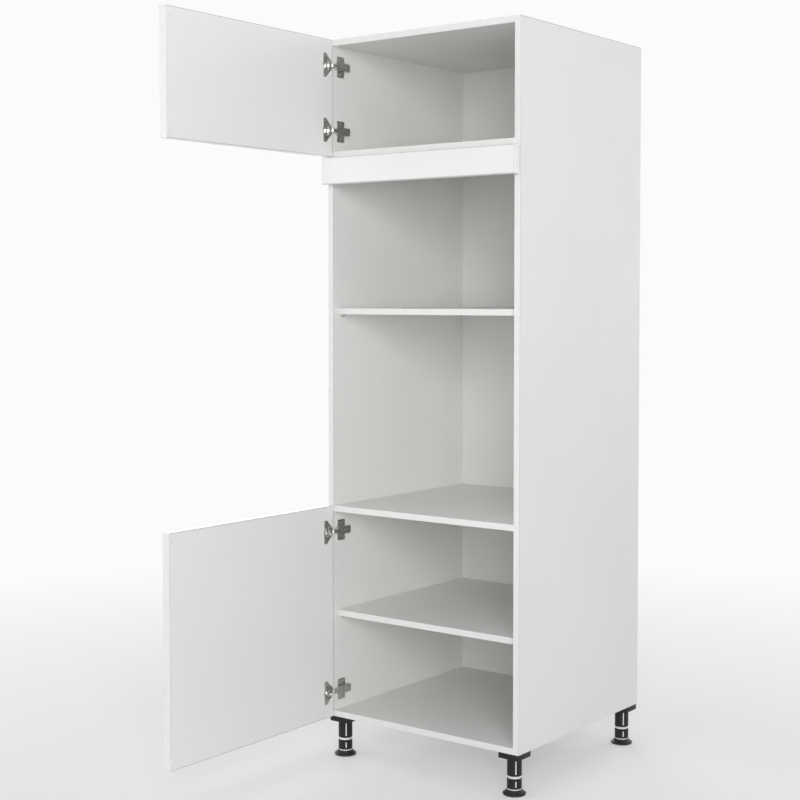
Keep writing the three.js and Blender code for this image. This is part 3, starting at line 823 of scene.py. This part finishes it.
def slot_highlight_strips_tree():
    """Upright pale strips on a circle round each place, set in a leg's slots as a painted
    highlight.
    """
    inputs = [
        ("Count", "Int"),
        ("Radius", "Float"),
        ("Size", "Vector"),
        ("Material", "Material"),
    ]
    tree, given, result = geometry_tree("Slot highlight strips", inputs)
    inputs = {"Vertices": given["Count"], "Radius": given["Radius"]}
    ring = add(tree, "GeometryNodeMeshCircle", None, inputs)
    half_step = calc(tree, "DIVIDE", math.pi, given["Count"])
    turned = transformed(tree, ring.outputs[0], Rotation=combined(tree, z=half_step))
    parts = split(tree, add(tree, "GeometryNodeInputPosition").outputs[0])
    outward = combined(tree, z=calc(tree, "ARCTAN2", parts[Y], parts[X]))
    facing = add(tree, "FunctionNodeEulerToRotation", None, {0: outward})
    strip = add(tree, "GeometryNodeMeshCube", None, {"Size": given["Size"]})
    inputs = {
        "Points": turned,
        "Instance": strip.outputs["Mesh"],
        "Rotation": facing.outputs[0],
    }
    strips = add(tree, "GeometryNodeInstanceOnPoints", None, inputs)
    inputs = {"Points": given["Places"], "Instance": strips.outputs[0]}
    sets = add(tree, "GeometryNodeInstanceOnPoints", None, inputs)
    close_tree(tree, sets.outputs[0], given["Material"], result)
    return tree


SCREW_HEADS = screw_heads_tree()
SLOT_HIGHLIGHT_STRIPS = slot_highlight_strips_tree()


def repeated(name, tree, places, body, values):
    """Runs a tree on a list of places and keeps the plain mesh as a piece on a body."""
    mesh = bpy.data.meshes.new(name)
    mesh.from_pydata([tuple(place) for place in places], [], [])
    made = new_object(name, mesh)
    modifier = made.modifiers.new("repeat", "NODES")
    modifier.node_group = tree
    for item in tree.interface.items_tree:
        if item.in_out == "INPUT" and item.name in values:
            modifier[item.identifier] = values[item.name]
    graph = bpy.context.evaluated_depsgraph_get()
    made.data = bpy.data.meshes.new_from_object(made.evaluated_get(graph))
    made.modifiers.clear()
    made.data.name = name
    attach(made, body)


def screws(name, places, facing, body, seed, size=WOOD_SCREW):
    """Cross-recessed heads at a list of places, all facing one way."""
    values = {
        "Radius": size["radius"],
        "Dome": size["dome"],
        "Recess": True,
        "Facing": facing,
        "Seed": seed,
        "Material": ZINC,
    }
    repeated(name, SCREW_HEADS, places, body, values)


# Seeds for the turn of each group of heads. The flange screws take their door's number.
SEEDS = {"plate": 5, "side": 7, "strip": 8, "socket": 9}

# Turns that point a head's dome along an axis
FACING = {
    "+x": (0, math.pi / 2, 0),
    "-x": (0, -math.pi / 2, 0),
    "+y": (-math.pi / 2, 0, 0),
    "-z": (math.pi, 0, 0),
}


def middle(node):
    """The middle of a node's box."""
    low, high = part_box(node)
    return (low + high) / 2


def flange_screws():
    """Two through the flange of each hinge cup."""
    for seed, door in enumerate(DOORS):
        places = []
        for level in LEVELS:
            cup = f"{door}_door_{level}_hinge_cup"
            low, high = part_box(cup)
            back = low.y + CUP_RIM - FLANGE_SETBACK
            for step in (-1, 1):
                places.append((high.x, back, middle(cup).z + step * FLANGE_SCREW_SPREAD))
        name = f"{door}_flange_screws"
        screws(name, places, FACING["+x"], f"{door}_door", seed, SMALL_SCREW)


def plate_screws():
    """Two through the wings of each mounting plate."""
    places = []
    for door in DOORS:
        for level in LEVELS:
            plate = f"{door}_door_{level}_hinge_plate"
            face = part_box(plate)[0].x + PLATE_WING
            for step in (-1, 1):
                up = middle(plate).z + step * PLATE_SCREW_SPREAD
                places.append((face, PLATE_SCREW_FROM_FRONT, up))
    screws("plate_screws", places, FACING["+x"], "carcass", SEEDS["plate"])


def bracket_screws():
    """Two through each leg of each filler bracket."""
    steps = (-BRACKET_SCREW_SPREAD, BRACKET_SCREW_SPREAD)
    for side, towards, facing in (("left", 1, "+x"), ("right", -1, "-x")):
        name = f"filler_bracket_{side}"
        low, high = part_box(name)
        centre = middle(name)
        wall = low.x if towards > 0 else high.x
        to_side = [(wall + towards * BRACKET_PLATE, centre.y, centre.z + s) for s in steps]
        to_strip = [(centre.x, low.y + BRACKET_PLATE, centre.z + s) for s in steps]
        side_name, strip_name = f"{name}_side_screws", f"{name}_strip_screws"
        screws(side_name, to_side, FACING[facing], "carcass", SEEDS["side"], SMALL_SCREW)
        screws(strip_name, to_strip, FACING["+y"], "carcass", SEEDS["strip"], SMALL_SCREW)


def socket_screws():
    """Four up through the corners of each leg's socket."""
    places = []
    for row in ROWS:
        for side in SIDES:
            socket = f"leg_{row}_{side}_socket"
            centre = middle(socket)
            for x in (-SOCKET_SCREW_SPREAD, SOCKET_SCREW_SPREAD):
                for y in (-SOCKET_SCREW_SPREAD, SOCKET_SCREW_SPREAD):
                    places.append((centre.x + x, centre.y + y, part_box(socket)[0].z))
    screws("socket_screws", places, FACING["-z"], "carcass", SEEDS["socket"])


def door_buffers():
    """Soft clear domes that meet the far side panel when a door shuts."""
    for door in DOORS:
        node = f"{door}_door"
        low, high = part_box(node)
        ends = (low.z + BUFFER["from_end"], high.z - BUFFER["from_end"])
        places = [(high.x, low.y + BUFFER["from_edge"], end) for end in ends]
        values = {
            "Radius": BUFFER["radius"],
            "Dome": BUFFER["dome"],
            "Recess": False,
            "Facing": FACING["+x"],
            "Material": CLEAR,
        }
        repeated(f"{node}_buffers", SCREW_HEADS, places, node, values)


# ---- Legs -----------------------------------------------------------------------------------


def leg_columns():
    """Turns round a leg: each an angle, whether it lies in a slot, and whether on a rib."""
    share = 2 * math.pi / SLOT_COUNT
    half_slot = math.asin(SLOT_WIDTH / 2 / LEG_RADIUS)
    columns = []
    for step in range(LEG_STEPS):
        turn = 2 * math.pi * step / LEG_STEPS
        if abs(turn % share - share / 2) > half_slot + 2 * SLOT_LIP:
            columns.append((turn, False, step % 2 == 0))
    for index in range(SLOT_COUNT):
        centre = (index + 0.5) * share
        columns.append((centre - half_slot, False, True))
        columns.append((centre - half_slot + SLOT_LIP, True, True))
        columns.append((centre, True, True))
        columns.append((centre + half_slot - SLOT_LIP, True, True))
        columns.append((centre + half_slot, False, True))
    return sorted(columns)


def ring_points(centre, row, columns):
    """One ring of a turned piece: a single point on the axis, or a point for each turn."""
    radius, height, *marks = row
    if radius == 0:
        return [(centre.x, centre.y, height * MM)]
    points = []
    for turn, in_slot, on_rib in columns:
        reach = radius
        if "slots" in marks and in_slot:
            reach = SLOT_FLOOR
        elif "ribs" in marks and not on_rib:
            reach = radius - RIB_DEPTH
        across = centre.x + reach * MM * math.cos(turn)
        back = centre.y + reach * MM * math.sin(turn)
        points.append((across, back, height * MM))
    return points


def turned_piece(name, centre, profile, finish, body):
    """A moulded or turned plastic piece on a leg's axis, from its profile in millimetres.

    A profile that starts on the axis is closed there, and any other joins its last row to its
    first as a ring.
    """
    columns = leg_columns()
    rings = [ring_points(centre, row, columns) for row in profile]
    points = [point for ring in rings for point in ring]
    starts = [sum(len(ring) for ring in rings[:index]) for index in range(len(rings))]
    pairs = list(zip(range(len(rings)), range(1, len(rings))))
    if len(rings[0]) > 1:
        pairs.append((len(rings) - 1, 0))
    faces = []
    count = len(columns)
    for first, second in pairs:
        for step in range(count):
            after = (step + 1) % count
            corners = []
            for ring, order in ((first, (step, after)), (second, (after, step))):
                size = len(rings[ring])
                corners += [starts[ring] + (turn if size > 1 else 0) for turn in order]
            faces.append(list(dict.fromkeys(corners)))
    mesh = bpy.data.meshes.new(name)
    mesh.from_pydata(points, [], faces)
    work = bmesh.new()
    work.from_mesh(mesh)
    bmesh.ops.recalc_face_normals(work, faces=work.faces)
    for face in work.faces:
        face.smooth = True
    work.to_mesh(mesh)
    work.free()
    mesh.set_sharp_from_angle(angle=TURNED_SMOOTH_BELOW)
    mesh.materials.append(finish)
    made = new_object(name, mesh)
    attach(made, body)
    return made


def highlight_strips(name, places, span, body):
    """Pale strips in the slots between two heights, a painted highlight."""
    low, high = (height * MM for height in span)
    values = {
        "Count": SLOT_COUNT,
        "Radius": (SLOT_FLOOR + STRIP["thick"] / 2) * MM,
        "Size": (STRIP["thick"] * MM, STRIP["width"] * MM, high - low),
        "Material": PAINTED_HIGHLIGHT_PLASTIC,
    }
    middles = [(x, y, (low + high) / 2) for x, y in places]
    repeated(name, SLOT_HIGHLIGHT_STRIPS, middles, body, values)


def build_leg(row, side):
    """One leg's foot and tube, and the pale rings and strips that paint highlights on it. Gives
    the place of its axis.
    """
    leg = f"leg_{row}_{side}"
    body = f"foot_{row}_{side}"
    centre = middle(f"{leg}_foot")
    foot = turned_piece(f"{leg}_foot_moulding", centre, FOOT_PROFILE, LEG_BLACK, body)
    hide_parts(f"{leg}_foot")
    tube = turned_piece(f"{leg}_tube_moulding", centre, TUBE_PROFILE, LEG_BLACK, "carcass")
    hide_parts(f"{leg}_tube")
    # painted highlights: pale rings in the collar, in the foot's groove and at the head of the
    # tube
    turned_piece(f"{leg}_highlight_collar", centre, COLLAR_PROFILE, PAINTED_HIGHLIGHT_PLASTIC, body)
    turned_piece(f"{leg}_groove_highlight_ring", centre, GROOVE_RING_PROFILE, PAINTED_HIGHLIGHT_PLASTIC, body)
    turned_piece(f"{leg}_head_highlight_ring", centre, HEAD_RING_PROFILE, PAINTED_HIGHLIGHT_PLASTIC, "carcass")
    # painted highlight in the foot's slots
    highlight_strips(f"{leg}_foot_highlight_strips", [(centre.x, centre.y)], FOOT_SLOT, body)
    return centre.x, centre.y


def build_legs():
    axes = [build_leg(row, side) for row in ROWS for side in SIDES]
    # painted highlight in the tubes' slots
    highlight_strips("leg_tube_highlight_strips", axes, TUBE_SLOT, "carcass")


# ---- Studio ---------------------------------------------------------------------------------


def seen_directly(tree):
    """One for what the camera sees, also in a mirror or through glass."""
    rays = add(tree, "ShaderNodeLightPath").outputs
    mirrored = calc(tree, "MAXIMUM", rays["Is Camera Ray"], rays["Is Glossy Ray"])
    return calc(tree, "MAXIMUM", mirrored, rays["Is Transmission Ray"])


def studio_floor():
    """A pale floor that keeps the unit's shadow and runs out into the backdrop's colour."""
    signs = ((-1, -1), (1, -1), (1, 1), (-1, 1))
    corners = [(x * FLOOR_REACH, y * FLOOR_REACH, -FLOOR_BELOW) for x, y in signs]
    mesh = bpy.data.meshes.new("floor")
    mesh.from_pydata(corners, [], [range(len(corners))])
    made, tree, shader = material("pale floor")
    point = object_point(tree)
    toned = scaled(tree, FLOOR_PALE, mottled(tree, point, FLOOR_GRAIN))
    tree.links.new(toned, shader.inputs["Base Color"])
    shader.inputs["Roughness"].default_value = FLOOR_ROUGHNESS
    shader.inputs["Specular IOR Level"].default_value = 0.0
    seen = seen_directly(tree)
    lift = add(tree, "ShaderNodeEmission", None, {"Color": (*BACKDROP, 1)})
    tree.links.new(calc(tree, "MULTIPLY", seen, FLOOR_LIFT), lift.inputs["Strength"])
    near = add(tree, "ShaderNodeAddShader")
    tree.links.new(shader.outputs[0], near.inputs[0])
    tree.links.new(lift.outputs[0], near.inputs[1])
    plain = add(tree, "ShaderNodeEmission", None, {"Color": (*BACKDROP, 1), "Strength": 1.0})
    distance = vector_calc(tree, "LENGTH", point, output="Value")
    far = ramped(tree, distance, *FLOOR_FADE)
    blend = add(tree, "ShaderNodeMixShader", None, {0: calc(tree, "MULTIPLY", far, seen)})
    tree.links.new(near.outputs[0], blend.inputs[1])
    tree.links.new(plain.outputs[0], blend.inputs[2])
    tree.links.new(blend.outputs[0], tree.nodes["Material Output"].inputs["Surface"])
    mesh.materials.append(made)
    new_object("floor", mesh)


def studio_world():
    """Soft even light, with the plain backdrop colour where it is seen."""
    world = bpy.data.worlds.new("studio")
    world.use_nodes = True
    tree = world.node_tree
    light = tree.nodes["Background"]
    light.inputs["Color"].default_value = (*SKY, 1)
    light.inputs["Strength"].default_value = SKY_STRENGTH
    inputs = {"Color": (*BACKDROP, 1), "Strength": 1.0}
    backdrop = add(tree, "ShaderNodeBackground", None, inputs)
    blend = add(tree, "ShaderNodeMixShader", None, {0: seen_directly(tree)})
    tree.links.new(light.outputs[0], blend.inputs[1])
    tree.links.new(backdrop.outputs[0], blend.inputs[2])
    tree.links.new(blend.outputs[0], tree.nodes["World Output"].inputs["Surface"])
    bpy.context.scene.world = world


def softbox(name, place, power):
    """A square area light at a place, turned to the unit."""
    light = bpy.data.lights.new(name, "AREA")
    light.shape = "SQUARE"
    light.size = LAMP_SIZE
    light.energy = power
    made = new_object(name, light)
    made.location = place
    ahead = Vector(LAMP_AIM) - Vector(place)
    made.rotation_euler = ahead.to_track_quat("-Z", "Y").to_euler()


def unit_camera():
    """The drawing's own viewpoint: from the front right, a little above the middle."""
    camera = bpy.data.cameras.new("camera")
    camera.lens = CAMERA_LENS
    camera.shift_y = CAMERA_SHIFT
    made = new_object("camera", camera)
    made.location = CAMERA["place"]
    pitch, turn = 90 - CAMERA["down"], CAMERA["round"]
    made.rotation_euler = (math.radians(pitch), 0, math.radians(turn))
    bpy.context.scene.camera = made


def build_studio():
    studio_floor()
    studio_world()
    for name, (place, power) in LAMPS.items():
        softbox(name, place, power)
    unit_camera()
    bpy.context.scene.view_settings.view_transform = "Standard"


dress_boards()
dress_fronts()
fit_fittings()
flange_screws()
plate_screws()
bracket_screws()
socket_screws()
door_buffers()
build_legs()
build_studio()
